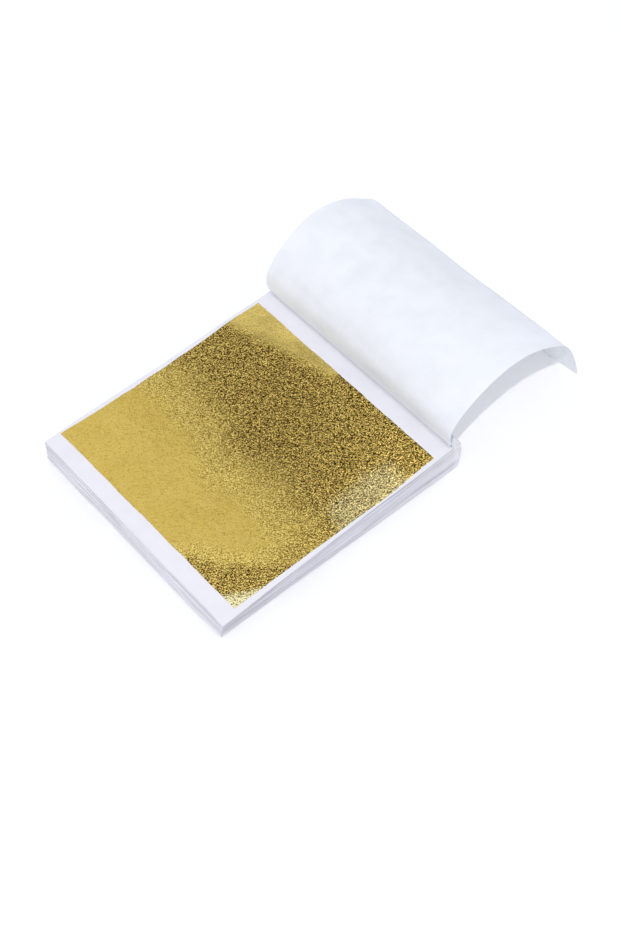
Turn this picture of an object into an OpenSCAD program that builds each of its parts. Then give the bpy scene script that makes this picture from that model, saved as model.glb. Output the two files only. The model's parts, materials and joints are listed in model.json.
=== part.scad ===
// Booklet of gold leaf: a glued pad of thin tissue sheets with one loose leaf between each pair.
// It lies open at its first leaf, and the sheet that covered that leaf is turned back over the spine.
// Millimetres and degrees. +X runs from the fore-edge to the spine, +Y along the spine, +Z up.
// The origin is the centre of the pad's underside, on the table.

/* [Gold leaf] */
// Width of a leaf, across from the fore-edge to the spine
leaf_w = 80; // [60:1:110]
// Length of a leaf along the spine
leaf_l = 85; // [60:1:110]
// Height that one leaf takes up with its crinkles
leaf_t = 0.03; // [0.02:0.005:0.05]
// Turn of the leaves against the sheets that they lie on
leaf_turn = -0.5; // [-0.7:0.1:0.7]
// Number of leaves in the booklet
leaf_count = 100; // [50:1:150]

/* [Tissue sheets] */
// Height that one sheet takes up in the pad
sheet_t = 0.075; // [0.06:0.005:0.12]
// Bare tissue past the leaf at the fore-edge
fore_margin = 6; // [2:0.5:15]
// Bare tissue past the leaf at the near end
near_margin = 1.5; // [1:0.5:10]
// Bare tissue past the leaf at the far end
far_margin = 1; // [1:0.5:10]
// Bare tissue between the leaf and the fold
hinge_margin = 6.5; // [3:0.5:15]

/* [Binding] */
// Width of the glued edge between the fold and the spine
bound_w = 3.2; // [2:0.1:8]
// Thickness of the film of glue down the spine
spine_glue_t = 0.3; // [0.2:0.05:1]
// How far the spine leans in from the top of the pad to its underside
spine_lean = 1.5; // [0:0.1:2]
// Room at the fold, where a lifted sheet clears its glued edge
fold_gap = 0.6; // [0.5:0.05:1]

/* [Turned sheet] */
// Slope of the turned sheet where it leaves the fold
rise_angle = 102; // [98:1:108]
// Height of the turned sheet over the leaf when it is laid back down
cover_clearance = 0.3; // [0.15:0.01:0.4]
// Gap between two strips of the turned sheet
strip_gap = 0.1; // [0.06:0.01:0.3]
// Height of the turned sheet's free edge over the table
edge_clearance = 0.02; // [0.01:0.01:0.1]

/* [Hidden] */
// Share of the turn that each strip of the turned sheet takes from the one before it
bends = [62, 18, 20, 24, 16, 29, 8];
strip_count = len(bends) + 1;
// Sheets under the exposed leaf that are modelled as lifting one by one
lifting_count = 4;
// Groups that the sheets and the leaves further down are kept in
pack_count = 10;

sheet_count = leaf_count + 1;
pitch = sheet_t + leaf_t;
pad_top = (sheet_count - 1) * pitch - leaf_t;
block_top = pad_top + pitch;
sheet_w = fore_margin + leaf_w + hinge_margin + bound_w;
sheet_l = near_margin + leaf_l + far_margin;
fore_x = -(sheet_w + spine_glue_t) / 2;
near_y = -sheet_l / 2;
fold_x = fore_x + sheet_w - bound_w;
leaf_x = fore_x + fore_margin + leaf_w / 2;
leaf_y = near_y + near_margin + leaf_l / 2;
fold_z = pad_top + leaf_t + cover_clearance + sheet_t / 2;
strip_l = (fold_x - fore_x) / strip_count;
first_packed = lifting_count + 2;
packed_count = sheet_count - lifting_count - 1;

paper = [0.95, 0.95, 0.98];
gold = [0.8, 0.62, 0.22];
glue = [0.9, 0.9, 0.86];

// Number with a leading zero
function two(n) = n < 10 ? str("0", n) : str(n);
// Sum of the first n values of a list
function sum_of(v, n) = n == 0 ? 0 : v[n - 1] + sum_of(v, n - 1);
// Underside of a sheet, counted from 1 for the turned sheet at the top
function sheet_z(i) = (sheet_count - i) * pitch;
// Spine end of the sheets at a height
function spine_x(z) = fore_x + sheet_w - spine_lean * (1 - z / block_top);
// Slope of strip k of the turned sheet, when the bends are scaled by a share
function slope_at(k, share) = rise_angle - share * sum_of(bends, k - 1);
// Height of the free edge, when the bends are scaled by a share
function edge_z(share) =
    fold_z + strip_l * sum_of([for (k = [1:strip_count]) sin(slope_at(k, share))], strip_count);
// Share of the bends that brings the free edge down to the table, found by halving
function resting_share(low, high, steps) =
    let (middle = (low + high) / 2)
    steps == 0 ? middle
    : edge_z(middle) > sheet_t / 2 + edge_clearance ? resting_share(middle, high, steps - 1)
    : resting_share(low, middle, steps - 1);

share = resting_share(0.7, 1.3, 40);
slopes = [for (k = [1:strip_count]) slope_at(k, share)];
// Fold line of each strip of the turned sheet, as X and Z
folds = [for (k = [1:strip_count]) [
    fold_x + strip_l * sum_of([for (a = slopes) cos(a)], k - 1),
    fold_z + strip_l * sum_of([for (a = slopes) sin(a)], k - 1)
]];
// First sheet of a pack
function pack_start(g) = first_packed + floor((g - 1) * packed_count / pack_count);

strip_names = [for (k = [1:strip_count]) str("turned_sheet_strip_", two(k))];
sheet_names = [for (i = [2:lifting_count + 1]) str("sheet_", two(i))];
leaf_names = [for (i = [1:lifting_count]) str("gold_leaf_", two(i))];
sheet_pack_names = [for (g = [1:pack_count]) str("sheet_pack_", two(g))];
leaf_pack_names = [for (g = [1:pack_count]) str("leaf_pack_", two(g))];

// Outline in X and Z, drawn out along the whole length of the spine
module along_spine(outline) {
    translate([0, near_y + sheet_l, 0])
        rotate([90, 0, 0])
            linear_extrude(height = sheet_l)
                polygon(outline);
}

// Flat layer from a given X to the leaning spine
module layer_to_spine(from_x, z, t) {
    along_spine([[from_x, z], [spine_x(z), z], [spine_x(z + t), z + t], [from_x, z + t]]);
}

// One leaf, lying on the sheet below it
module leaf_on(i) {
    translate([leaf_x, leaf_y, sheet_z(i) + sheet_t])
        rotate([0, 0, leaf_turn])
            translate([-leaf_w / 2, -leaf_l / 2, 0])
                cube([leaf_w, leaf_l, leaf_t]);
}

// Film of glue that holds the sheets' spine ends
module spine_glue() {
    color(glue)
        along_spine([
            [spine_x(0), 0], [spine_x(0) + spine_glue_t, 0],
            [spine_x(block_top) + spine_glue_t, block_top], [spine_x(block_top), block_top]
        ]);
}

// Thin lines of glue between one bound edge and the next
module glue_lines() {
    color(glue)
        for (i = [2:sheet_count])
            layer_to_spine(fold_x, sheet_z(i) + sheet_t, leaf_t);
}

// Glued edges of the sheets that lift
module bound_edges() {
    color(paper)
        for (i = [2:lifting_count + 1])
            layer_to_spine(fold_x, sheet_z(i), sheet_t);
}

// Glued edge of the turned sheet, beside the fold
module turned_sheet_bound_edge() {
    color(paper)
        layer_to_spine(fold_x + strip_gap, sheet_z(1), sheet_t);
}

// One strip of the turned sheet, from its own fold to the next
module turned_sheet_strip(k) {
    last_gap = k == strip_count ? 0 : strip_gap / 2;
    color(paper)
        translate([folds[k - 1][0], near_y, folds[k - 1][1]])
            rotate([0, -slopes[k - 1], 0])
                translate([strip_gap / 2, 0, -sheet_t / 2])
                    cube([strip_l - strip_gap / 2 - last_gap, sheet_l, sheet_t]);
}

// Free part of a sheet that lifts at the fold
module lifting_sheet(i) {
    color(paper)
        translate([fore_x, near_y, sheet_z(i)])
            cube([fold_x - fold_gap - fore_x, sheet_l, sheet_t]);
}

// Leaf that lies on sheet i
module gold_leaf(i) {
    color(gold)
        leaf_on(i);
}

// Whole sheets further down the pad
module sheet_pack(g) {
    color(paper)
        for (i = [pack_start(g):pack_start(g + 1) - 1])
            layer_to_spine(fore_x, sheet_z(i), sheet_t);
}

// Leaves that lie on the sheets of one pack
module leaf_pack(g) {
    color(gold)
        for (i = [pack_start(g):pack_start(g + 1) - 1])
            leaf_on(i);
}

spine_glue();
glue_lines();
bound_edges();
turned_sheet_bound_edge();
for (k = [1:strip_count])
    turned_sheet_strip(k);
for (i = [2:lifting_count + 1])
    lifting_sheet(i);
for (i = [1:lifting_count])
    gold_leaf(i + 1);
for (g = [1:pack_count])
    sheet_pack(g);
for (g = [1:pack_count])
    leaf_pack(g);
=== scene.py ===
"""Booklet of gold leaf, open at its first leaf. Lengths are worked out in millimetres, in the frame of
the CAD model: +X from the fore-edge to the spine, +Y along the spine, +Z up, the table at Z = 0."""
import json
import math

import bpy
import mathutils
import numpy as np
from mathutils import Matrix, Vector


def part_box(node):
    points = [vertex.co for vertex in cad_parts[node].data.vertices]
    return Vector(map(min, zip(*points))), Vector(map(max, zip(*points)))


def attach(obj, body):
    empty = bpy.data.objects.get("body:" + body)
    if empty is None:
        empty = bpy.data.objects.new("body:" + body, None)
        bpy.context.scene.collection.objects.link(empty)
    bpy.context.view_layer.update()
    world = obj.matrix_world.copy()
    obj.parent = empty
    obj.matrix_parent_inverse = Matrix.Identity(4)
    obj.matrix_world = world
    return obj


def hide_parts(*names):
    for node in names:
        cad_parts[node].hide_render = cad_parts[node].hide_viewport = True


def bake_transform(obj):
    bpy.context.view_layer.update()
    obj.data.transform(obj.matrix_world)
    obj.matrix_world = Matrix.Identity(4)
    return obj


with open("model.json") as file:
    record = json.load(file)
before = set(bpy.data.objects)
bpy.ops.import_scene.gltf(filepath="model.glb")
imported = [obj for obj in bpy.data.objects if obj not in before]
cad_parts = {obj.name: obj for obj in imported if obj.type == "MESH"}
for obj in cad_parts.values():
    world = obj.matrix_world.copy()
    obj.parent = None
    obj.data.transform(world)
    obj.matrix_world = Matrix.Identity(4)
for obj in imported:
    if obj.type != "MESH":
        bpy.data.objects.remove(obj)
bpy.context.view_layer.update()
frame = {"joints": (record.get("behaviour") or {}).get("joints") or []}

MM = 0.001


def box_mm(node):
    """Lowest and highest corner of a CAD node."""
    low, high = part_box(node)
    return np.array(low) / MM, np.array(high) / MM


def rounded_box(node):
    """Lowest and highest corner of a CAD node, to a thousandth of a millimetre."""
    return [[round(float(c), 3) for c in corner] for corner in box_mm(node)]


# Sizes and places, from the CAD

(FORE_X, NEAR_Y, sheet_low), (LIFT_END_X, FAR_Y, sheet_high) = rounded_box("sheet_02")
(FOLD_X, _, _), _ = rounded_box("bound_edges")
_, (SPINE_X, _, BLOCK_TOP) = rounded_box("turned_sheet_bound_edge")
(spine_foot_x, _, _), _ = rounded_box("spine_glue")
leaf_low, leaf_high = rounded_box("gold_leaf_01")
SPINE_LEAN = round(SPINE_X - spine_foot_x, 3)
SHEET_T = round(sheet_high - sheet_low, 3)
LEAF_T = round(leaf_high[2] - leaf_low[2], 3)
PITCH = round(SHEET_T + LEAF_T, 3)
SHEET_COUNT = round((BLOCK_TOP + LEAF_T) / PITCH)
# Sheets are counted from the top, and the turned one is sheet 1
TOP_SHEET = 2  # the one that the bare leaf lies on
FIRST_PACKED = 6  # those above it can turn or lift
PACK_COUNT = 10
LEAF_CENTRE = ((leaf_low[0] + leaf_high[0]) / 2, (leaf_low[1] + leaf_high[1]) / 2)
# The leaf lies a little turned, so its box doesn't give these
LEAF_SIZE = (80.0, 85.0)
LEAF_TURN = math.radians(-0.5)


# Camera


def make_camera():
    """Camera fitted to the photographed corners of the leaf."""
    target = mathutils.Vector((0.007787, -0.018231, 0.0105))
    azimuth = math.radians(-39.94)
    elevation = math.radians(54.16)
    roll = math.radians(-1.712)
    distance = 0.58284
    back = mathutils.Vector(
        (
            math.sin(azimuth) * math.cos(elevation),
            -math.cos(azimuth) * math.cos(elevation),
            math.sin(elevation),
        )
    )
    right = (-back).cross(mathutils.Vector((0, 0, 1))).normalized()
    up = back.cross(right)
    rolled_right = math.cos(roll) * right + math.sin(roll) * up
    rolled_up = -math.sin(roll) * right + math.cos(roll) * up
    data = bpy.data.cameras.new("camera")
    data.lens = 73.753
    data.sensor_width = 36
    data.sensor_fit = "AUTO"
    data.clip_start = 0.01
    data.clip_end = 20
    camera = bpy.data.objects.new("camera", data)
    turn = mathutils.Matrix((rolled_right, rolled_up, back)).transposed()
    camera.matrix_world = mathutils.Matrix.Translation(target + back * distance) @ turn.to_4x4()
    bpy.context.scene.collection.objects.link(camera)
    bpy.context.scene.camera = camera


# Smooth noise


LATTICE_SIZE = 64


def lattice(seed, shape):
    """Random values from -1 to 1, always the same for a seed."""
    return np.random.default_rng(seed).uniform(-1, 1, shape)


def eased(t):
    """Share from 0 to 1 that starts and ends gently."""
    return t * t * (3 - 2 * t)


def ramp(x, low, high):
    """Runs smoothly from 0 at a low value to 1 at a high one."""
    return eased(np.clip((x - low) / (high - low), 0, 1))


def noise(seed, *coords):
    """Smooth noise from -1 to 1 in one, two or three coordinates, one lattice cell to a unit."""
    values = lattice(seed, (LATTICE_SIZE,) * len(coords))
    coords = np.broadcast_arrays(*coords)
    cells = [np.floor(c).astype(int) for c in coords]
    shares = [eased(c - i) for c, i in zip(coords, cells)]
    total = 0.0
    for corner in np.ndindex(*(2,) * len(coords)):
        weight = 1.0
        for side, share in zip(corner, shares):
            weight = weight * (share if side else 1 - share)
        index = tuple((i + side) % LATTICE_SIZE for i, side in zip(cells, corner))
        total = total + weight * values[index]
    return total


def waves(seed, length, *coords):
    """Smooth noise whose waves are about a length in mm apart."""
    return noise(seed, *[c / length + 30 for c in coords])


# Meshes


def mesh_object(name, verts, faces, material, smooth=True, normals=None):
    """Object from points in millimetres, with smooth shading where asked."""
    mesh = bpy.data.meshes.new(name)
    mesh.from_pydata((np.asarray(verts) * MM).tolist(), [], faces)
    mesh.validate()
    mesh.update()
    mesh.polygons.foreach_set("use_smooth", [smooth] * len(mesh.polygons))
    if normals is not None:
        mesh.normals_split_custom_set_from_vertices(normals.tolist())
    mesh.materials.append(material)
    obj = bpy.data.objects.new(name, mesh)
    bpy.context.scene.collection.objects.link(obj)
    return obj


def grid_faces(rows, cols, start=0, flip=False):
    """Quads over a grid of points, whose first point has the number start."""
    faces = []
    for i in range(rows - 1):
        for k in range(cols - 1):
            a = start + i * cols + k
            quad = (a, a + 1, a + cols + 1, a + cols)
            faces.append(quad[::-1] if flip else quad)
    return faces


def closed_grid_faces(rows, cols):
    """Faces of a thin closed grid: its front, its back, whose points come after, and its rim."""
    count = rows * cols
    faces = grid_faces(rows, cols) + grid_faces(rows, cols, start=count, flip=True)
    loop = list(range(cols))
    loop += [r * cols + cols - 1 for r in range(1, rows)]
    loop += [(rows - 1) * cols + c for c in range(cols - 2, -1, -1)]
    loop += [r * cols for r in range(rows - 2, 0, -1)]
    for a, b in zip(loop, loop[1:] + loop[:1]):
        faces.append((a + count, b + count, b, a))
    return faces


def closed_ring_faces(ring, rings):
    """Faces of a thin closed sheet made of nested rings of points, its underside first."""
    faces = []
    for side in range(2):
        base = side * rings * ring
        for r in range(rings - 1):
            outer = base + r * ring
            for n in range(ring):
                m = (n + 1) % ring
                quad = (outer + n, outer + m, outer + ring + m, outer + ring + n)
                faces.append(quad if side else quad[::-1])
        middle = tuple(base + (rings - 1) * ring + n for n in range(ring))
        faces.append(middle if side else middle[::-1])
    for n in range(ring):
        m = (n + 1) % ring
        faces.append((n, m, rings * ring + m, rings * ring + n))
    return faces


def grid_normals(points):
    """Unit normals of a surface given as a grid of points."""
    normals = np.cross(np.gradient(points, axis=1), np.gradient(points, axis=0))
    return normals / np.linalg.norm(normals, axis=2)[:, :, None]


def rectangle_points(x_span, y_span, counts):
    """Points round a rectangle, with a count for its sides along X and one for those along Y."""
    (xa, xb), (ya, yb) = x_span, y_span
    along_x, along_y = counts
    u = np.linspace(0, 1, along_x, endpoint=False)
    v = np.linspace(0, 1, along_y, endpoint=False)
    xs = [xa + (xb - xa) * u, np.full(along_y, xb), xb - (xb - xa) * u, np.full(along_y, xa)]
    ys = [np.full(along_x, ya), ya + (yb - ya) * v, np.full(along_x, yb), yb - (yb - ya) * v]
    return np.concatenate(xs), np.concatenate(ys)


def joined(layers):
    """Points and faces of several layers as one."""
    verts, faces, start = [], [], 0
    for points, quads in layers:
        verts.append(points)
        faces += [tuple(i + start for i in q) for q in quads]
        start += len(points)
    return np.concatenate(verts), faces


# Shape of the pad


def spine_at(z):
    """The spine leans in towards the underside."""
    return SPINE_X - SPINE_LEAN * (1 - z / BLOCK_TOP)


# Lines of the edges as a place in mm and a slope, seen in the photo
TOP_NEAR_EDGE = (-43.45, 0.0151)
LOWEST_NEAR_EDGE = (-42.49, -0.0207)
TOP_FORE_EDGE = (-47.9, 0.0176)
LOWEST_FORE_EDGE = (-47.55, 0.0128)
TOP_FAR_EDGE = 43.6
LOWEST_FAR_FLARE = 0.85  # how much further the lowest sheet reaches at its far fore corner


def edge_at(line, along):
    """Where a slanting edge lies, at a place along it."""
    place, slope = line
    return place + slope * along


def slanted(x, y, z):
    """The pad isn't quite square: its edges run a little aslant, and its lower sheets have slipped."""
    low = 1 - z / BLOCK_TOP
    near = (1 - low) * edge_at(TOP_NEAR_EDGE, x) + low * edge_at(LOWEST_NEAR_EDGE, x)
    far = TOP_FAR_EDGE + LOWEST_FAR_FLARE * low * (SPINE_X - x) / (SPINE_X - FORE_X)
    new_y = near + (far - near) * (y - NEAR_Y) / (FAR_Y - NEAR_Y)
    fore = (1 - low) * edge_at(TOP_FORE_EDGE, y) + low * edge_at(LOWEST_FORE_EDGE, y)
    new_x = SPINE_X - (SPINE_X - fore) * (SPINE_X - x) / (SPINE_X - FORE_X)
    return new_x, new_y


BUNDLES = (0.0, 1.7, 3.5, 5.2, 7.1, 8.8, 10.1)  # heights at which the sheets part a little


def edge_wave(x, y, z):
    """How far a sheet's edge lies off its flat place: slow waves, and gaps between bundles."""
    inward = np.minimum(np.minimum(x - FORE_X, y - NEAR_Y), FAR_Y - y)
    fade = (1 - ramp(inward, 0.5, 8)) * (1 - ramp(x, 34, 44))
    depth = ramp(z, 0, 2.5) * (1 - ramp(z, 9.4, 10.3))
    slow = 0.16 * noise(11, x / 17 + 30, y / 17 + 30, z / 5 + 8)
    gaps = 0.0
    for n, (low, high) in enumerate(zip(BUNDLES, BUNDLES[1:])):
        if low <= z < high:
            squeeze = 0.125 * (1 + waves(20 + n, 13, x, y))
            gaps = ((low + high) / 2 - z) * squeeze
    return fade * (depth * slow + gaps)


def edge_shift(x, y, z, serial):
    """How far a sheet's edge stands out or in: whole bundles, and each sheet a little by itself."""
    bundle = 0.17 * noise(31, x / 24 + 30, y / 24 + 30, z / 0.9 + 5)
    few = 0.15 * noise(32, x / 16 + 30, y / 16 + 30, z / 0.36 + 5)
    own = 0.1 * noise(41, x / 12 + 30, y / 12 + 30, serial * 3.7)
    return bundle + few + own + 0.08 * lattice(51, 128)[serial % 128]


# How far some sheets' edges are drawn in, in mm, which leaves a dark gap
UNDER_TOP_INSET = 0.35  # the sheet under the top one, all round
UNDER_TOP_NEAR_INSET = 0.9  # the three sheets under the top one, on the near side
LOWEST_INSET = 0.45  # the lowest three sheets
# Insets of the rings of points that a sheet is made of
RINGS = (0, 1.5, 8)
TOP_RINGS = (0, 0.7, 1.5, 3, 5)
ON_EDGE = 1e-6  # slack in mm in telling which side a point lies on


def sheet_layer(x0, x1, z, thickness, serial, insets=RINGS, counts=(60, 54), lift=None):
    """Closed thin sheet whose edges wave, with its number in the booklet: points and faces."""
    points = []
    for level in (0, thickness):
        for inset in insets:
            x, y = rectangle_points(
                (x0 + inset, x1 - inset), (NEAR_Y + inset, FAR_Y - inset), counts
            )
            height = z + level + edge_wave(x, y, z)
            if lift is not None:
                height = height + lift(x, y)
            rim = 1 - ramp(inset, 0, 3)
            out = edge_shift(x, y, z, serial) * rim
            if serial == TOP_SHEET + 1:
                out = out - UNDER_TOP_INSET * rim
            if serial >= SHEET_COUNT - 2:
                out = out - LOWEST_INSET * rim
            ends_out = out * (1 - ramp(x, 38, 44))
            near_out = ends_out
            if TOP_SHEET < serial <= TOP_SHEET + 3:
                near_out = ends_out - UNDER_TOP_NEAR_INSET * rim * ramp(x, 4, 18)
            wx = x + np.where(x - x0 <= inset + ON_EDGE, -out, 0)
            wy = y + np.where(y - NEAR_Y <= inset + ON_EDGE, -near_out, 0)
            wy = wy + np.where(FAR_Y - y <= inset + ON_EDGE, ends_out, 0)
            wx, wy = slanted(wx, wy, z)
            points.append(np.stack([wx, wy, height], 1))
    return np.concatenate(points), closed_ring_faces(len(points[0]), len(insets))


# Materials


class Nodes:
    """Short way to add and link shader nodes in a material, or in the world if one is given."""

    def __init__(self, name, owner=None):
        self.material = owner or bpy.data.materials.new(name)
        self.material.use_nodes = True
        self.tree = self.material.node_tree
        self.tree.nodes.clear()

    def add(self, kind, **settings):
        node = self.tree.nodes.new("ShaderNode" + kind)
        for key, value in settings.items():
            setattr(node, key, value)
        return node

    def link(self, out, into):
        self.tree.links.new(out, into)

    def attribute(self, name):
        return self.add("Attribute", attribute_name=name).outputs["Fac"]

    def coordinates(self, scale=(1, 1, 1)):
        coord = self.add("TexCoord")
        mapping = self.add("Mapping")
        mapping.inputs["Scale"].default_value = scale
        self.link(coord.outputs["Object"], mapping.inputs["Vector"])
        return mapping.outputs["Vector"]

    def noise(self, vector, scale, detail=4.0, roughness=0.55, distortion=0.0):
        node = self.add("TexNoise")
        node.inputs["Scale"].default_value = scale
        node.inputs["Detail"].default_value = detail
        node.inputs["Roughness"].default_value = roughness
        node.inputs["Distortion"].default_value = distortion
        self.link(vector, node.inputs["Vector"])
        return node.outputs["Fac"]

    def ramp(self, fac, stops):
        node = self.add("ValToRGB")
        elements = node.color_ramp.elements
        elements[0].position, elements[0].color = stops[0][0], (*stops[0][1], 1)
        elements[1].position, elements[1].color = stops[-1][0], (*stops[-1][1], 1)
        for position, color in stops[1:-1]:
            element = elements.new(position)
            element.color = (*color, 1)
        self.link(fac, node.inputs["Fac"])
        return node.outputs["Color"]

    def give(self, node, socket, value):
        """Puts a number, a colour or another node's output into an input."""
        if isinstance(value, bpy.types.NodeSocket):
            self.link(value, node.inputs[socket])
        elif isinstance(value, tuple):
            node.inputs[socket].default_value = (*value, 1)
        else:
            node.inputs[socket].default_value = value

    def math(self, operation, first, second):
        node = self.add("Math", operation=operation)
        self.give(node, 0, first)
        self.give(node, 1, second)
        return node.outputs[0]

    def mix(self, factor, first, second, blend="MIX"):
        """First colour where the factor is 0, second where it is 1."""
        node = self.add("Mix", data_type="RGBA", blend_type=blend)
        self.give(node, "Factor", factor)
        self.give(node, "A", first)
        self.give(node, "B", second)
        return node.outputs["Result"]

    def step(self, value, middle, width):
        """0 below a middle value and 1 above it, with a soft edge."""
        node = self.add("MapRange", interpolation_type="SMOOTHSTEP")
        node.inputs["From Min"].default_value = middle - width / 2
        node.inputs["From Max"].default_value = middle + width / 2
        self.link(value, node.inputs["Value"])
        return node.outputs["Result"]

    def bump(self, height, distance, strength=1.0, normal=None):
        node = self.add("Bump")
        node.inputs["Distance"].default_value = distance
        node.inputs["Strength"].default_value = strength
        self.link(height, node.inputs["Height"])
        if normal is not None:
            self.link(normal, node.inputs["Normal"])
        return node.outputs["Normal"]

    def output(self, shader):
        node = self.add("OutputMaterial")
        self.link(shader, node.inputs["Surface"])
        return self.material


def tissue_material(name, tone, translucent=0.0, painted_gap_lines=False):
    """Thin white tissue: a bluish white with faint mottling of its fibres and very soft cockles.
    With painted gap lines, every few sheets get a darker line: painted shade for the gaps between them."""
    n = Nodes(name)
    vector = n.coordinates()
    mottle = n.noise(vector, 160, detail=5, roughness=0.6)
    fibres = n.noise(n.coordinates((1, 0.35, 1)), 1500, detail=3)
    cockles = n.noise(vector, 90, detail=2, distortion=0.4)
    dark = tuple(c * 0.965 for c in tone)
    color = n.ramp(mottle, [(0.35, dark), (0.62, tone)])
    if painted_gap_lines:
        # Painted shade: dark lines across the stack stand in for the shadow in the gaps between bundles
        # of sheets
        lines = n.noise(n.coordinates((14, 14, 3400)), 1, detail=2, roughness=0.6)
        shade = n.ramp(lines, [(0.36, (0.72, 0.72, 0.75)), (0.56, (1.0, 1.0, 1.0))])
        color = n.mix(1, color, shade, blend="MULTIPLY")
    normal = n.bump(cockles, 0.0006, 0.35)
    normal = n.bump(fibres, 0.00003, 0.3, normal)
    paper = n.add("BsdfPrincipled")
    paper.inputs["Roughness"].default_value = 0.72
    paper.inputs["Specular IOR Level"].default_value = 0.3
    n.link(color, paper.inputs["Base Color"])
    n.link(normal, paper.inputs["Normal"])
    if not translucent:
        return n.output(paper.outputs["BSDF"])
    through = n.add("BsdfTranslucent")
    n.link(color, through.inputs["Color"])
    n.link(normal, through.inputs["Normal"])
    both = n.add("MixShader")
    both.inputs["Fac"].default_value = translucent
    n.link(paper.outputs["BSDF"], both.inputs[1])
    n.link(through.outputs["BSDF"], both.inputs[2])
    return n.output(both.outputs["Shader"])


# Gold colours: the smooth gold is the metal's own; the others are painted shade, sheen and glints
SMOOTH_GOLD = [(0.3, (0.64, 0.46, 0.105)), (0.7, (0.69, 0.52, 0.13))]
PAINTED_SHEEN_GOLD = (0.88, 0.69, 0.21)
PAINTED_WRINKLE_SHADE_GOLD = (0.22, 0.13, 0.015)
CRINKLE_SHADE_AND_GLINT_GOLD = [(0.4, (0.22, 0.14, 0.01)), (0.48, (0.66, 0.48, 0.105)), (0.6, (0.95, 0.76, 0.26))]
CRUSHED_SHADE_AND_GLINT_GOLD = [(0.46, (0.035, 0.014, 0.0)), (0.51, (0.2, 0.105, 0.008)), (0.565, (1.0, 0.755, 0.22))]
PAINTED_GLINT_GOLD = (1.0, 0.95, 0.58)


def gold_material():
    """Beaten gold: a polished yellow metal whose finest crinkles are a bump over the mesh's own.
    Its colour also holds painted shade and glints of the crinkles, a painted sheen and painted
    highlights; the mesh says how crushed the leaf is at each point, and where these go."""
    n = Nodes("gold")
    vector = n.coordinates()
    crush = n.attribute("crush")
    smooth_and_sheen = n.attribute("smooth_and_sheen")
    painted_glint = n.attribute("painted_glint")

    # Crinkles run along a diagonal of the leaf
    drawn_out = n.add("Mapping", vector_type="TEXTURE")
    drawn_out.inputs["Rotation"].default_value = (0, 0, math.radians(-38))
    drawn_out.inputs["Scale"].default_value = (1.5, 1, 1)
    n.link(vector, drawn_out.inputs["Vector"])
    diagonal = drawn_out.outputs["Vector"]
    flecks = n.noise(diagonal, 3300, detail=2, roughness=0.55, distortion=0.9)
    wrinkles = n.noise(diagonal, 1150, detail=2.5, roughness=0.6, distortion=0.5)

    color = n.ramp(n.noise(vector, 120, detail=3), SMOOTH_GOLD)
    # Painted reflection: the smooth corner's paler gold stands in for a softbox mirrored in it; its
    # smoothness is real
    color = n.mix(smooth_and_sheen, color, PAINTED_SHEEN_GOLD)
    # Painted shade: dark wrinkle lines stand in for the shade of the crinkles; more of them where
    # crushing begins, and few in the smooth corner
    share = n.math("ADD", n.math("MULTIPLY", n.step(crush, 0.05, 0.1), 0.6), 0.24)
    share = n.math("SUBTRACT", share, n.math("MULTIPLY", smooth_and_sheen, 0.7))
    share = n.math("MAXIMUM", share, 0.0)
    color = n.mix(n.math("MULTIPLY", n.step(wrinkles, 0.58, 0.07), share), color, PAINTED_WRINKLE_SHADE_GOLD)
    # Painted shade and highlights: light crinkles of dark and bright flecks lead up to the crushed part
    share = n.math("ADD", n.math("MULTIPLY", n.step(crush, 0.07, 0.14), 0.75), 0.16)
    color = n.mix(share, color, n.ramp(flecks, CRINKLE_SHADE_AND_GLINT_GOLD))
    # Painted shade and glints: the crushed part's flecks are dark brown with bright yellow glints
    share = n.math("MULTIPLY", n.step(crush, 0.55, 0.9), 0.94)
    color = n.mix(share, color, n.ramp(flecks, CRUSHED_SHADE_AND_GLINT_GOLD))
    # Painted highlight: pale glints on the brightest flecks
    share = n.math("MULTIPLY", painted_glint, n.step(flecks, 0.475, 0.09))
    color = n.mix(share, color, PAINTED_GLINT_GOLD)

    depth = n.math("ADD", n.math("MULTIPLY", crush, 0.5), 0.5)
    depth = n.math("SUBTRACT", depth, n.math("MULTIPLY", smooth_and_sheen, 0.42))
    grain = n.noise(vector, 2000, detail=1.5, roughness=0.5, distortion=0.6)
    rough = n.add("MapRange")
    rough.inputs["From Min"].default_value = 0.3
    rough.inputs["From Max"].default_value = 0.7
    rough.inputs["To Min"].default_value = 0.09
    rough.inputs["To Max"].default_value = 0.13
    n.link(n.noise(vector, 60, detail=3), rough.inputs["Value"])
    metal = n.add("BsdfPrincipled")
    metal.inputs["Metallic"].default_value = 1.0
    n.link(rough.outputs["Result"], metal.inputs["Roughness"])
    n.link(color, metal.inputs["Base Color"])
    n.link(n.bump(n.math("MULTIPLY", grain, depth), 0.00003), metal.inputs["Normal"])
    return n.output(metal.outputs["BSDF"])


def glue_material():
    """Dried white binding glue: satin, uneven where it was brushed on."""
    n = Nodes("glue")
    streaks = n.noise(n.coordinates((1, 0.3, 1)), 500, detail=4)
    color = n.ramp(streaks, [(0.3, (0.78, 0.78, 0.78)), (0.7, (0.87, 0.868, 0.875))])
    glue = n.add("BsdfPrincipled")
    glue.inputs["Roughness"].default_value = 0.42
    n.link(color, glue.inputs["Base Color"])
    n.link(n.bump(streaks, 0.0002, 0.5), glue.inputs["Normal"])
    return n.output(glue.outputs["BSDF"])


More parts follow.
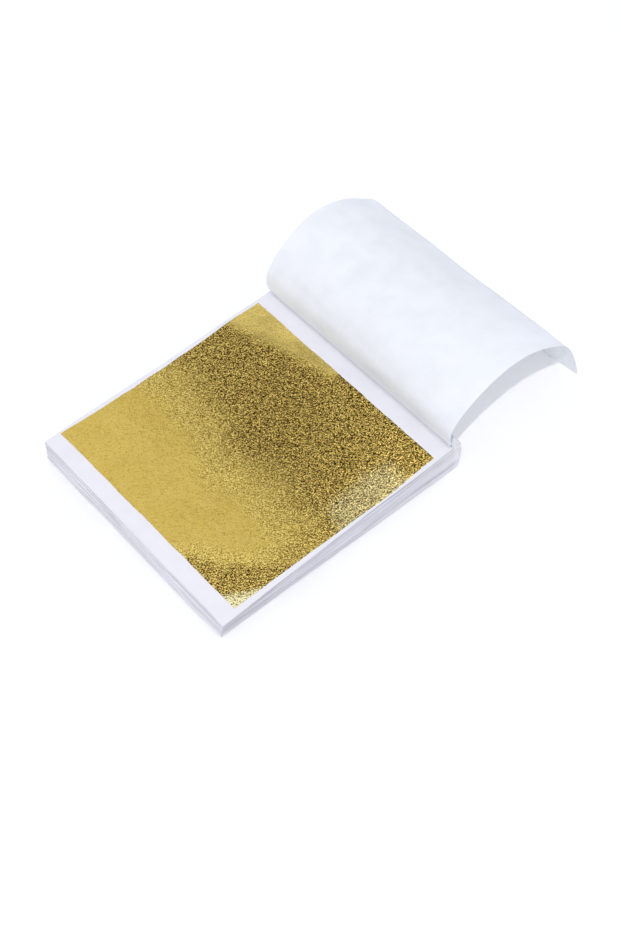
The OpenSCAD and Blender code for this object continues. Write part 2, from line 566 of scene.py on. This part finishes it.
def floor_material():
    """White floor that keeps a soft shadow: part of its white is its own, and lights nothing else."""
    n = Nodes("floor")
    color = n.ramp(
        n.noise(n.coordinates(), 40, detail=2), [(0.3, (0.85, 0.855, 0.86)), (0.7, (0.87, 0.875, 0.88))]
    )
    diffuse = n.add("BsdfDiffuse")
    n.link(color, diffuse.inputs["Color"])
    path = n.add("LightPath")
    seen = n.math("MAXIMUM", path.outputs["Is Camera Ray"], path.outputs["Is Glossy Ray"])
    seen = n.math("MAXIMUM", seen, path.outputs["Is Transmission Ray"])
    glow = n.add("Emission")
    glow.inputs["Color"].default_value = (1, 1, 1, 1)
    n.link(n.math("MULTIPLY", seen, 0.145), glow.inputs["Strength"])
    both = n.add("AddShader")
    n.link(diffuse.outputs[0], both.inputs[0])
    n.link(glow.outputs[0], both.inputs[1])
    return n.output(both.outputs[0])


tissue = tissue_material("tissue", (0.815, 0.81, 0.845))
# The stack's sides get painted shade lines for the gaps between the sheets
tissue_layers = tissue_material("tissue_layers", (0.88, 0.87, 0.905), painted_gap_lines=True)
tissue_thin = tissue_material("tissue_thin", (0.965, 0.98, 1.0), translucent=0.38)
# Painted shade: the fold's tissue is darker and less translucent, standing in for the shadow in the
# crease
tissue_crease_shade = tissue_material("tissue_crease_shade", (0.78, 0.785, 0.805), translucent=0.25)
gold = gold_material()
glue = glue_material()


# Turned sheet


PAPER_T = 0.06
STRIP_COUNT = sum(joint["name"].startswith("page_") for joint in frame["joints"])
BOUND_Z = BLOCK_TOP - SHEET_T / 2  # middle of the turned sheet's glued edge
FREE_W = 92.5  # from the fold to the free edge, along the sheet


def turned_path():
    """Corners of the row of strips, as X and Z: the fold, the bends and the free edge."""
    corners = []
    for name in ["page_turn"] + [f"page_bend_{k:02d}" for k in range(2, STRIP_COUNT + 1)]:
        joint = next(j for j in frame["joints"] if j["name"] == name)
        corners.append((joint["pos_m"][0] / MM, joint["pos_m"][2] / MM))
    low, high = box_mm(f"turned_sheet_strip_{STRIP_COUNT:02d}")
    corners.append((high[0], low[2] + PAPER_T / 2))
    return np.array(corners)


def curve_points(corners, s):
    """Smooth curve that touches each strip at its middle; s counts strips from the fold."""
    points = np.empty((len(s), 2))
    for n, v in enumerate(s):
        if v <= 0.5:
            points[n] = corners[0] + (corners[1] - corners[0]) * v
        elif v >= STRIP_COUNT - 0.5:
            points[n] = corners[-2] + (corners[-1] - corners[-2]) * (v - STRIP_COUNT + 1)
        else:
            j = int(math.floor(v + 0.5))
            t = v - (j - 0.5)
            start = (corners[j - 1] + corners[j]) / 2
            end = (corners[j] + corners[j + 1]) / 2
            points[n] = (1 - t) ** 2 * start + 2 * t * (1 - t) * corners[j] + t * t * end
    return points


def smooth_table(s, stops):
    """Values that run smoothly through a few stops along the sheet."""
    at, values = zip(*stops)
    dense = np.linspace(-1, STRIP_COUNT + 1, 1001)
    row = np.interp(dense, at, values)
    width = 41
    kernel = np.hanning(width + 2)[1:-1]
    kernel /= kernel.sum()
    padded = np.pad(row, width // 2, mode="edge")
    return np.interp(s, dense, np.convolve(padded, kernel, mode="valid"))


# How far inside the strips' curve the sheet's near and far edges run, seen in the photo. Each stop is
# a number of strips from the fold, and a distance in mm.
NEAR_INSET = (
    (0, -0.3), (0.5, -0.3), (1.15, 0.9), (2, 1.35), (3.5, 1.2), (5, 1.0), (5.9, 0.3), (8, 0.4),
)
FAR_INSET = (
    (0, -0.3), (0.35, -0.3), (1.15, 1.7), (2, 0.9), (2.8, -0.2), (3.3, -0.1), (3.9, 0.9), (5.4, 2.5),
    (6.4, 1.6), (8, 0),
)
NEAR_TAPER = 1.5  # how far the near end is drawn in at the fold
FAR_TAPER = 2.3  # and the far end
CORNER_RISE = 3.6  # how far the near corner of the free edge stands up
CORNER_PULL = 0.8  # how far it is drawn back with that
RIPPLE = 0.25  # half the height of the free edge's ripples


def turned_surface():
    """Grid of points and normals over the turned sheet, from the fold to the free edge, with the
    number of strips from the fold to each row."""
    rows_per_strip = 26
    columns = 89
    s = np.linspace(0, STRIP_COUNT, STRIP_COUNT * rows_per_strip + 1)
    v = np.linspace(0, 1, columns)
    centre = curve_points(turned_path(), s)
    tangent = np.gradient(centre, s, axis=0)
    tangent /= np.linalg.norm(tangent, axis=1)[:, None]
    inner = np.stack([tangent[:, 1], -tangent[:, 0]], 1)
    s_mm = s * FREE_W / STRIP_COUNT
    near_y = edge_at(TOP_NEAR_EDGE, FOLD_X - s_mm) + NEAR_TAPER * (1 - ramp(s_mm, -1, 3))
    far_y = FAR_Y - FAR_TAPER * (1 - ramp(s_mm, -1.5, 3))
    y = near_y[:, None] + (far_y - near_y)[:, None] * v[None, :]
    inset = smooth_table(s, NEAR_INSET)[:, None] * (1 - v) + smooth_table(s, FAR_INSET)[:, None] * v
    grid_s = np.broadcast_to(s_mm[:, None], y.shape)
    away = ramp(grid_s, 3, 14)
    soft = 0.22 * (1 + noise(61, grid_s / 14, y / 16 + 30))
    soft = soft + 0.07 * (1 + noise(62, grid_s / 5, y / 6 + 30))
    fine = 0.012 * noise(63, grid_s / 1.6, y / 1.9 + 32)
    # No lower than this, so that the closed sheet clears the leaf
    lowest = -0.2 - 0.1 * (1 - ramp(grid_s, 4, 8))
    offset = np.maximum(inset + away * (soft - 0.2 + fine), lowest)
    corner = ramp(grid_s, 76, FREE_W) * (1 - ramp(y, -44.2, -31))
    ripple = ramp(grid_s, 84, FREE_W) * ramp(y, -34, -24)
    x = centre[:, 0][:, None] + inner[:, 0][:, None] * offset - CORNER_PULL * corner
    z = centre[:, 1][:, None] + inner[:, 1][:, None] * offset + CORNER_RISE * corner
    z = z + ripple * RIPPLE * (1 + waves(64, 9, y))
    points = np.stack([x, y, z], 2)
    return s, points, grid_normals(points)


def thin_patch(name, points, normals, material, ends=(False, False)):
    """Thin closed piece over a patch of a surface; an end that another piece continues stays open."""
    rows, cols = points.shape[:2]
    flat = points.reshape(-1, 3)
    facing = normals.reshape(-1, 3)
    outer = flat + facing * PAPER_T / 2
    inner = flat - facing * PAPER_T / 2
    count = rows * cols
    last = count - cols
    faces = grid_faces(rows, cols) + grid_faces(rows, cols, start=count, flip=True)
    for a in range(0, last, cols):
        b = a + cols
        faces.append((a, b, b + count, a + count))
        a_far, b_far = a + cols - 1, b + cols - 1
        faces.append((b_far, a_far, a_far + count, b_far + count))
    for k in range(cols - 1):
        if ends[0]:
            faces.append((k + 1, k, k + count, k + 1 + count))
        if ends[1]:
            a = last + k
            faces.append((a, a + 1, a + 1 + count, a + count))
    return mesh_object(
        name, np.concatenate([outer, inner]), faces, material, normals=np.concatenate([facing, -facing])
    )


STRIP_BODIES = [f"turned_strip_{k:02d}" for k in range(1, STRIP_COUNT + 1)]
FIRST_ROW_AT = 0.04  # strips from the fold to where the sheet's own surface takes over from the fold


def make_turned_sheet():
    """The free part of the sheet in pieces, each from the middle of one strip to that of the next."""
    s, points, normals = turned_surface()

    def part(name, low, high, ends=(False, False)):
        rows = (s >= low - 1e-6) & (s <= high + 1e-6)
        return thin_patch(name, points[rows], normals[rows], tissue_thin, ends)

    rise = part("turned_sheet_rise", FIRST_ROW_AT, 0.5)
    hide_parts("turned_sheet_strip_01")
    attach(rise, STRIP_BODIES[0])

    for k in range(1, STRIP_COUNT):
        bend = part(f"turned_sheet_bend_{k + 1:02d}", k - 0.5, k + 0.5)
        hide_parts(f"turned_sheet_strip_{k + 1:02d}")
        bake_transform(bend)

    edge = part("turned_sheet_edge", STRIP_COUNT - 0.5, STRIP_COUNT, ends=(False, True))
    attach(edge, STRIP_BODIES[-1])

    first_row = np.argmax(s >= FIRST_ROW_AT - 1e-6)
    make_fold(points[first_row], normals[first_row])


def make_fold(top, top_normals):
    """Glued edge on the pad and the fold, which turns up out of it to meet the sheet's first row."""
    radius = 0.35
    arc_x = 44.56
    near_end = -42.8
    length = 86.5
    flat = [(x, BOUND_Z) for x in (SPINE_X + 0.02, 47.0, 46.2, 45.5, 45.1)]
    arc = [
        (arc_x - radius * math.sin(a), BOUND_Z + radius + radius * math.cos(a))
        for a in np.radians(np.linspace(180, 104, 12))
    ]
    path = np.array(flat + arc)
    y = top[:, 1]
    glued_y = near_end + length * np.linspace(0, 1, len(y))
    narrowed = ramp(-path[:, 0], -46.6, -45.0)
    grid = np.empty((len(path) + 1, len(y), 3))
    grid[:-1, :, 0] = path[:, 0][:, None]
    grid[:-1, :, 1] = glued_y[None, :] + narrowed[:, None] * (y - glued_y)[None, :]
    grid[:-1, :, 2] = path[:, 1][:, None]
    grid[-1] = top
    grid[len(flat):-1, :, 0] += 0.05 * waves(71, 7, y)[None, :]
    grid[0, :, 0] += 0.1 * waves(72, 9, y) - 0.1
    normals = grid_normals(grid)
    normals[-1] = top_normals

    glued = thin_patch(
        "turned_sheet_glued", grid[:len(flat)], normals[:len(flat)], tissue_thin, ends=(True, False)
    )
    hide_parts("turned_sheet_bound_edge")
    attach(glued, "pad")
    # The fold is painted darker, as the shadow in the crease
    fold = thin_patch(
        "turned_sheet_fold", grid[len(flat) - 1:], normals[len(flat) - 1:], tissue_crease_shade
    )
    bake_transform(fold)


# Gold leaves


def leaf_grid(step, height):
    """Fine grid over a leaf, about its middle, with uneven edges; height gives its crinkles."""
    half_x, half_y = LEAF_SIZE[0] / 2, LEAF_SIZE[1] / 2
    cols = int(round(LEAF_SIZE[0] / step)) + 1
    rows = int(round(LEAF_SIZE[1] / step)) + 1
    x, y = np.meshgrid(np.linspace(-half_x, half_x, cols), np.linspace(-half_y, half_y, rows))
    edge_x = 0.14 * noise(81, y / 6 + 30, x / 40 + 30) + 0.05 * noise(82, y / 1.3 + 31, x / 40 + 30)
    edge_y = 0.14 * noise(83, x / 6 + 30, y / 40 + 30) + 0.05 * noise(84, x / 1.3 + 31, y / 40 + 30)
    bent_x = x + edge_x * ramp(np.abs(x), 30, 40)
    bent_y = y + edge_y * ramp(np.abs(y), 32, 42)
    # The far edge bows in
    bow = np.clip(1 - ((x + 8) / 36) ** 2, 0, 1)
    bent_y = bent_y - 0.9 * bow * ramp(y, 26, half_y)
    return bent_x, bent_y, height(x, y)


def place_leaf(x, y, z):
    """Points of a leaf, given about its middle, in their place on the pad."""
    c, s = math.cos(LEAF_TURN), math.sin(LEAF_TURN)
    return np.stack([LEAF_CENTRE[0] + c * x - s * y, LEAF_CENTRE[1] + s * x + c * y, z], -1)


def leaf_object(name, step, height, base, thickness=0.01):
    """Closed thin leaf, whose points also say how crushed it is, how smooth and with painted sheen, and
    where its painted glints are.
    """
    x, y, z = leaf_grid(step, height)
    # The near corner on the spine side is drawn in a little
    drawn_y = y + ramp(x, 20, 38) * (1 - ramp(y, -LEAF_SIZE[1] / 2, -30))
    top = place_leaf(x, drawn_y, base + (z + thickness))
    bottom = place_leaf(x, drawn_y, base + z)
    normals = grid_normals(top).reshape(-1, 3)
    leaf = mesh_object(
        name, np.concatenate([top.reshape(-1, 3), bottom.reshape(-1, 3)]), closed_grid_faces(*x.shape),
        gold, normals=np.concatenate([normals, -normals]),
    )
    for zone, share in (
        ("crush", crinkled_zone(x, y)), ("smooth_and_sheen", smooth_and_sheen_zone(x, y)), ("painted_glint", painted_glint_zone(x, y)),
    ):
        attribute = leaf.data.attributes.new(zone, "FLOAT", "POINT")
        attribute.data.foreach_set("value", np.tile(share.ravel(), 2).astype(np.float32))
    return leaf


# Zones of the leaf, from 0 to 1, as the photo shows them. Their places are in mm from its middle. They
# set the leaf's crinkles, and where the gold's colour holds painted shade, sheen and glints.


def wandering(x, y):
    """How far the zones' limits stray, in mm."""
    return 4 * waves(91, 14, x, y) + 2 * waves(92, 5, x, y)


def smooth_and_sheen_zone(x, y):
    """The far spine-side corner is smooth, with a paler colour that is a painted reflection of a
    softbox.
    """
    wander = wandering(x, y)
    return ramp(x + 0.275 * (y - 2) + 0.4 * wander, 33.5, 38.5) * ramp(y + 0.3 * wander, 1, 4)


def painted_glint_zone(x, y):
    """Painted highlight: the near corner of the fore-edge side is painted with glints where it catches
    the light, and so is a part of the near side.
    """
    wander = wandering(x, y)
    corner = ramp(-y - 0.5 * x + 0.35 * wander, 55, 58)
    near_side = ramp(x + wander, -2, 8) * (1 - ramp(x, 24, 32)) * ramp(0.5 * wander - y, 28, 37)
    return np.maximum(corner, 0.4 * near_side)


def crinkled_zone(x, y):
    """A wide band on the spine side is crushed, and the near edge; the fore-edge side is smoother."""
    wander = wandering(x, y)
    across = x + wander - 0.11 * y
    spine_side = 0.14 * ramp(across, -19, -10) + 0.86 * ramp(across, -11, 10)
    corner = wander - y - 0.75 * x
    fore_corner = 0.2 * ramp(corner, 40, 52) + 0.8 * ramp(corner, 48.5, 55.5)
    near_edge = 0.58 * ramp(0.5 * wander - y, 30, 37)
    crushed = np.maximum(np.maximum(spine_side, near_edge), fore_corner)
    return crushed * (1 - 0.95 * smooth_and_sheen_zone(x, y)) * (1 - 0.6 * painted_glint_zone(x, y))


def first_leaf_height(x, y):
    """Height of the bare leaf in mm: fine crinkles, long waves, and one small pit."""
    pit_x, pit_y = -30.5, -6.5
    crush = 0.008 * noise(93, x / 1.1 + 3, y / 1.1 + 7) + 0.010 * noise(94, x / 2.3 + 5, y / 2.3 + 9)
    calm = 0.012 * waves(97, 7, x, y) + 0.03 * waves(98, 26, x, y)
    depth = (0.45 + 0.4 * crinkled_zone(x, y)) * (1 - 0.6 * smooth_and_sheen_zone(x, y))
    pit = np.exp(-((x - pit_x) ** 2 + (y - pit_y) ** 2) / 0.8)
    height = depth * crush + calm - 0.02 * pit
    return height - height.min() + 0.004


def calm_leaf_height(seed):
    """Height of a leaf between two sheets, which hold it flat."""

    def height(x, y):
        return 0.009 + 0.008 * waves(seed, 3, x, y)

    return height


def make_leaves():
    """The bare leaf, and the three under it that move with the lifting sheets."""
    low, _ = box_mm("gold_leaf_01")
    first = leaf_object("gold_leaf_first", 0.4, first_leaf_height, low[2])
    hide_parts("gold_leaf_01")
    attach(first, "gold_leaf_01")
    for n in (2, 3, 4):
        low, _ = box_mm(f"gold_leaf_{n:02d}")
        leaf = leaf_object(f"gold_leaf_under_{n:02d}", 1.0, calm_leaf_height(100 + n), low[2], 0.006)
        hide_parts(f"gold_leaf_{n:02d}")
        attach(leaf, f"sheet_{n + 1:02d}")


# Pad


def sheet_z(i):
    """Underside of a sheet, counted from 1 at the top."""
    return (SHEET_COUNT - i) * PITCH


def pack_start(g):
    """First sheet of a pack of the CAD."""
    return FIRST_PACKED + (g - 1) * (SHEET_COUNT - FIRST_PACKED + 1) // PACK_COUNT


def top_lift(x, y):
    """The top sheet's loose edges stand a little over the sheet below."""
    ends = (1 - ramp(np.minimum(y - NEAR_Y, FAR_Y - y), 0, 1.1)) * (1 - ramp(x, 25, 38))
    wave = 0.5 + 0.5 * waves(111, 7, x, y)
    raised = (1 - ramp(y - NEAR_Y, 0, 1.4)) * ramp(x, 6, 20) * (1 - ramp(x, 38, 42.5))
    return np.maximum(0.05 * ends * wave, 0.1 * raised)


PACKED_T = 0.078  # a packed sheet takes a little of the room between the sheets


def make_pad_sheets():
    """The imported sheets, each of its own shape, in the packs of the CAD."""
    for g in range(1, PACK_COUNT + 1):
        layers = []
        for i in range(pack_start(g), pack_start(g + 1)):
            z = sheet_z(i)
            layers.append(sheet_layer(FORE_X, spine_at(z), z, PACKED_T, i))
        verts, faces = joined(layers)
        pack = mesh_object(f"pad_sheets_{g:02d}", verts, faces, tissue_layers, smooth=False)
        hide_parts(f"sheet_pack_{g:02d}")
        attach(pack, "pad")


def make_lifting_sheets():
    """The sheets that lift, and the crease where each bends against the body under it."""
    under_bodies = {5: "pad", 4: "sheet_05", 3: "sheet_04", 2: "sheet_03"}
    for i, under in under_bodies.items():
        z = sheet_z(i)
        lift = top_lift if i == TOP_SHEET else None
        insets = TOP_RINGS if i == TOP_SHEET else RINGS
        verts, faces = sheet_layer(
            FORE_X, LIFT_END_X, z, SHEET_T, i, insets=insets, counts=(90, 84), lift=lift
        )
        sheet = mesh_object(f"sheet_{i:02d}_free", verts, faces, tissue, smooth=False)
        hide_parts(f"sheet_{i:02d}")
        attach(sheet, f"sheet_{i:02d}")
        crease = crease_strip(f"sheet_{i:02d}_crease", z)
        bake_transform(crease)


def crease_strip(name, z):
    """Soft strip of a lifting sheet, between its free part and its glued edge."""
    xs = np.linspace(LIFT_END_X - 0.05, FOLD_X + 0.35, 9)
    ys = np.linspace(NEAR_Y, FAR_Y, 89)
    x, y = slanted(*np.meshgrid(xs, ys), z)
    sides = [np.stack([x, y, np.full_like(x, level)], 2).reshape(-1, 3) for level in (z + SHEET_T, z)]
    return mesh_object(name, np.concatenate(sides), closed_grid_faces(*x.shape), tissue, smooth=False)


def strip_layer(x0, x1, z, thickness, serial):
    """Narrow glued strip along the spine, with a slightly uneven inner edge."""
    ys = np.linspace(NEAR_Y, FAR_Y, 60)
    ragged = 0.12 * noise(121, ys / 3 + 30, serial * 2.3)
    points = []
    for level in (0, thickness):
        for x in (x0 + ragged, np.full_like(ys, x1)):
            px, py = slanted(x, ys, z)
            points.append(np.stack([px, py, np.full_like(ys, z + level)], 1))
    n = len(ys)
    faces = []
    for k in range(n - 1):
        faces.append((k, k + 1, n + k + 1, n + k))
        faces.append((2 * n + k, 3 * n + k, 3 * n + k + 1, 2 * n + k + 1))
        faces.append((k, 2 * n + k, 2 * n + k + 1, k + 1))
        faces.append((n + k, n + k + 1, 3 * n + k + 1, 3 * n + k))
    faces.append((0, n, 3 * n, 2 * n))
    faces.append((n - 1, 3 * n - 1, 4 * n - 1, 2 * n - 1))
    return np.concatenate(points), faces


def make_glued_edges():
    """The sheets' glued edges beside the fold, and the lines of glue between them."""
    edges = []
    for i in range(TOP_SHEET, FIRST_PACKED):
        z = sheet_z(i)
        edges.append(strip_layer(FOLD_X + 0.3, spine_at(z), z, SHEET_T, i))
    verts, faces = joined(edges)
    bound = mesh_object("glued_edges", verts, faces, tissue, smooth=False)
    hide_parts("bound_edges")
    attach(bound, "pad")

    lines = []
    for i in range(TOP_SHEET, SHEET_COUNT + 1):
        z = sheet_z(i) + SHEET_T
        lines.append(strip_layer(FOLD_X + 0.5, spine_at(z) - 0.02, z, LEAF_T, i + 7))
    verts, faces = joined(lines)
    glue_seams = mesh_object("glue_seams", verts, faces, glue, smooth=False)
    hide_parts("glue_lines")
    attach(glue_seams, "pad")


def make_spine_film():
    """Film of glue down the spine, a little uneven."""
    y, z = np.meshgrid(np.linspace(NEAR_Y, FAR_Y, 120), np.linspace(0, BLOCK_TOP, 22))
    uneven = 0.06 * noise(131, y / 5 + 30, z / 3 + 30) + 0.03 * noise(132, y / 1.2 + 31, z / 0.8 + 30)
    sides = []
    for x in (spine_at(z) + 0.2 + uneven, spine_at(z) - 0.02):
        sides.append(np.stack([*slanted(x, y, z), z], 2).reshape(-1, 3))
    film = mesh_object("spine_film", np.concatenate(sides), closed_grid_faces(*y.shape), glue)
    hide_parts("spine_glue")
    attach(film, "pad")


def pack_leaf(z):
    """One leaf inside the pad, which follows the waves of the sheets."""
    points = []
    for level in (0, 0.008):
        for inset in (0, 7):
            a, b = LEAF_SIZE[0] / 2 - inset, LEAF_SIZE[1] / 2 - inset
            x, y = rectangle_points((-a, a), (-b, b), (40, 40))
            p = place_leaf(x, y, np.full_like(x, z + 0.012 + level))
            p[:, 0], p[:, 1] = slanted(p[:, 0], p[:, 1], z)
            p[:, 2] += edge_wave(p[:, 0], p[:, 1], z - SHEET_T)
            points.append(p)
    return np.concatenate(points), closed_ring_faces(len(points[0]), 2)


def make_pad_leaves():
    """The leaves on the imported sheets, in the packs of the CAD."""
    for g in range(1, PACK_COUNT + 1):
        layers = []
        for i in range(pack_start(g), pack_start(g + 1)):
            layers.append(pack_leaf(sheet_z(i) + SHEET_T))
        verts, faces = joined(layers)
        pack = mesh_object(f"pad_leaves_{g:02d}", verts, faces, gold, smooth=False)
        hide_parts(f"leaf_pack_{g:02d}")
        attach(pack, "pad")


# Studio


def make_studio():
    """Wide white floor, and one hard light from over the fore-edge and the near side."""
    half = 4.0
    drop = -0.00002
    corners = [(-half, -half, drop), (half, -half, drop), (half, half, drop), (-half, half, drop)]
    mesh = bpy.data.meshes.new("floor")
    mesh.from_pydata(corners, [], [(0, 1, 2, 3)])
    mesh.materials.append(floor_material())
    floor = bpy.data.objects.new("floor", mesh)
    bpy.context.scene.collection.objects.link(floor)

    lamp = bpy.data.lights.new("key", "AREA")
    lamp.shape = "DISK"
    lamp.size = 0.06
    lamp.energy = 14.5
    lamp.color = (1.0, 0.99, 0.975)
    key = bpy.data.objects.new("key", lamp)
    towards = mathutils.Vector((-0.4, -0.35, 1.0))
    distance = 1.8
    key.location = towards * distance
    key.rotation_euler = (-towards).to_track_quat("-Z", "Y").to_euler()
    bpy.context.scene.collection.objects.link(key)


# Where the photograph's view sees a direction mirrored in the flat leaf: its X / Z and Y / Z times this
# many mm, less the offset
MIRROR_SCALE = 472.5
MIRROR_OFFSET = (211.3, 279.9)


def make_world():
    """Soft light from all round. In the metal, big softboxes show with a dim gap between them."""
    world = bpy.data.worlds.new("studio")
    bpy.context.scene.world = world
    n = Nodes("studio", world)
    coord = n.add("TexCoord")
    parts = n.add("SeparateXYZ")
    n.link(coord.outputs["Generated"], parts.inputs[0])
    height = n.math("MAXIMUM", parts.outputs["Z"], 0.1)

    def mirrored_at(axis, offset):
        """Place on the flat leaf, in mm from its middle, along one axis."""
        slope = n.math("DIVIDE", parts.outputs[axis], height)
        return n.math("SUBTRACT", n.math("MULTIPLY", slope, MIRROR_SCALE), offset)

    leaf_x = mirrored_at("X", MIRROR_OFFSET[0])
    leaf_y = mirrored_at("Y", MIRROR_OFFSET[1])

    def beyond(x_share, y_share, limit, width):
        """1 past a line across the leaf, and 0 before it."""
        total = n.math("ADD", n.math("MULTIPLY", leaf_x, x_share), n.math("MULTIPLY", leaf_y, y_share))
        return n.step(total, limit, width)

    past_first_box = beyond(1, -0.08, -1, 14)
    second_box = beyond(1, 0.275, 35, 5)
    gap = n.math("MULTIPLY", past_first_box, n.math("SUBTRACT", 1.0, second_box))
    lamp = n.math("MULTIPLY", beyond(-0.1, -1, 50, 10), beyond(1, 0, -8, 16))
    shown = n.math("SUBTRACT", 1.0, n.math("MULTIPLY", gap, 0.9))
    shown = n.math("MAXIMUM", shown, n.math("MULTIPLY", lamp, 2.2))

    path = n.add("LightPath")
    seen = n.math("MAXIMUM", path.outputs["Is Camera Ray"], path.outputs["Is Transmission Ray"])
    direct = n.math("LESS_THAN", path.outputs["Diffuse Depth"], 0.5)
    in_metal = n.math("MULTIPLY", path.outputs["Is Glossy Ray"], direct)
    color = n.mix(seen, (0.74, 0.752, 0.825), (1, 1, 1))
    color = n.mix(in_metal, color, shown)
    background = n.add("Background")
    n.link(color, background.inputs["Color"])
    output = n.add("OutputWorld")
    n.link(background.outputs[0], output.inputs["Surface"])


make_camera()
bpy.context.scene.view_settings.view_transform = "Standard"
make_studio()
make_world()
make_turned_sheet()
make_leaves()
make_pad_sheets()
make_lifting_sheets()
make_glued_edges()
make_spine_film()
make_pad_leaves()
